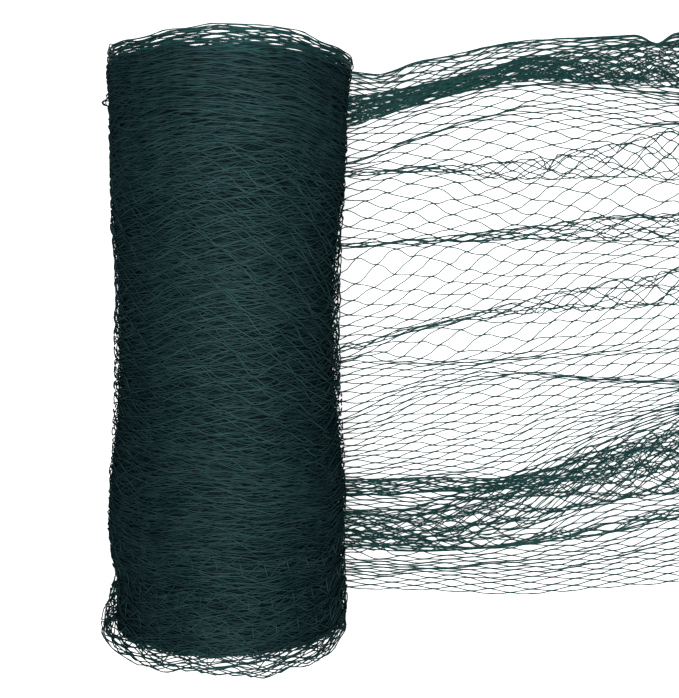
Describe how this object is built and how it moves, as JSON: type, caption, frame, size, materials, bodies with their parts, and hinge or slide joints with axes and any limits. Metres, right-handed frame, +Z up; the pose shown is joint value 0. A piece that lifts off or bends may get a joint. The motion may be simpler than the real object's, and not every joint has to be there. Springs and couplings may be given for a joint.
{
  "type": "bird netting roll",
  "caption": "Roll of fine dark green bird netting lying on its side, its loose end drawn out flat beside it in soft pleats and open diamonds.",
  "frame": {"origin": "on the flat spot that the roll rests on, under the middle of its length", "axes": "+Z up, +Y along the roll, +X the way the loose end runs out"},
  "size_m": [0.3985, 0.4118, 0.1515],
  "materials": {
    "wound_net": "dark teal green plastic twine, closely wound, with a dull gloss",
    "drawn_net": "dark teal green plastic twine, thin enough to show green against the light"
  },
  "bodies": {
    "root": {"net_roll": "wound_net", "loose_end": "drawn_net"}
  },
  "joints": []
}
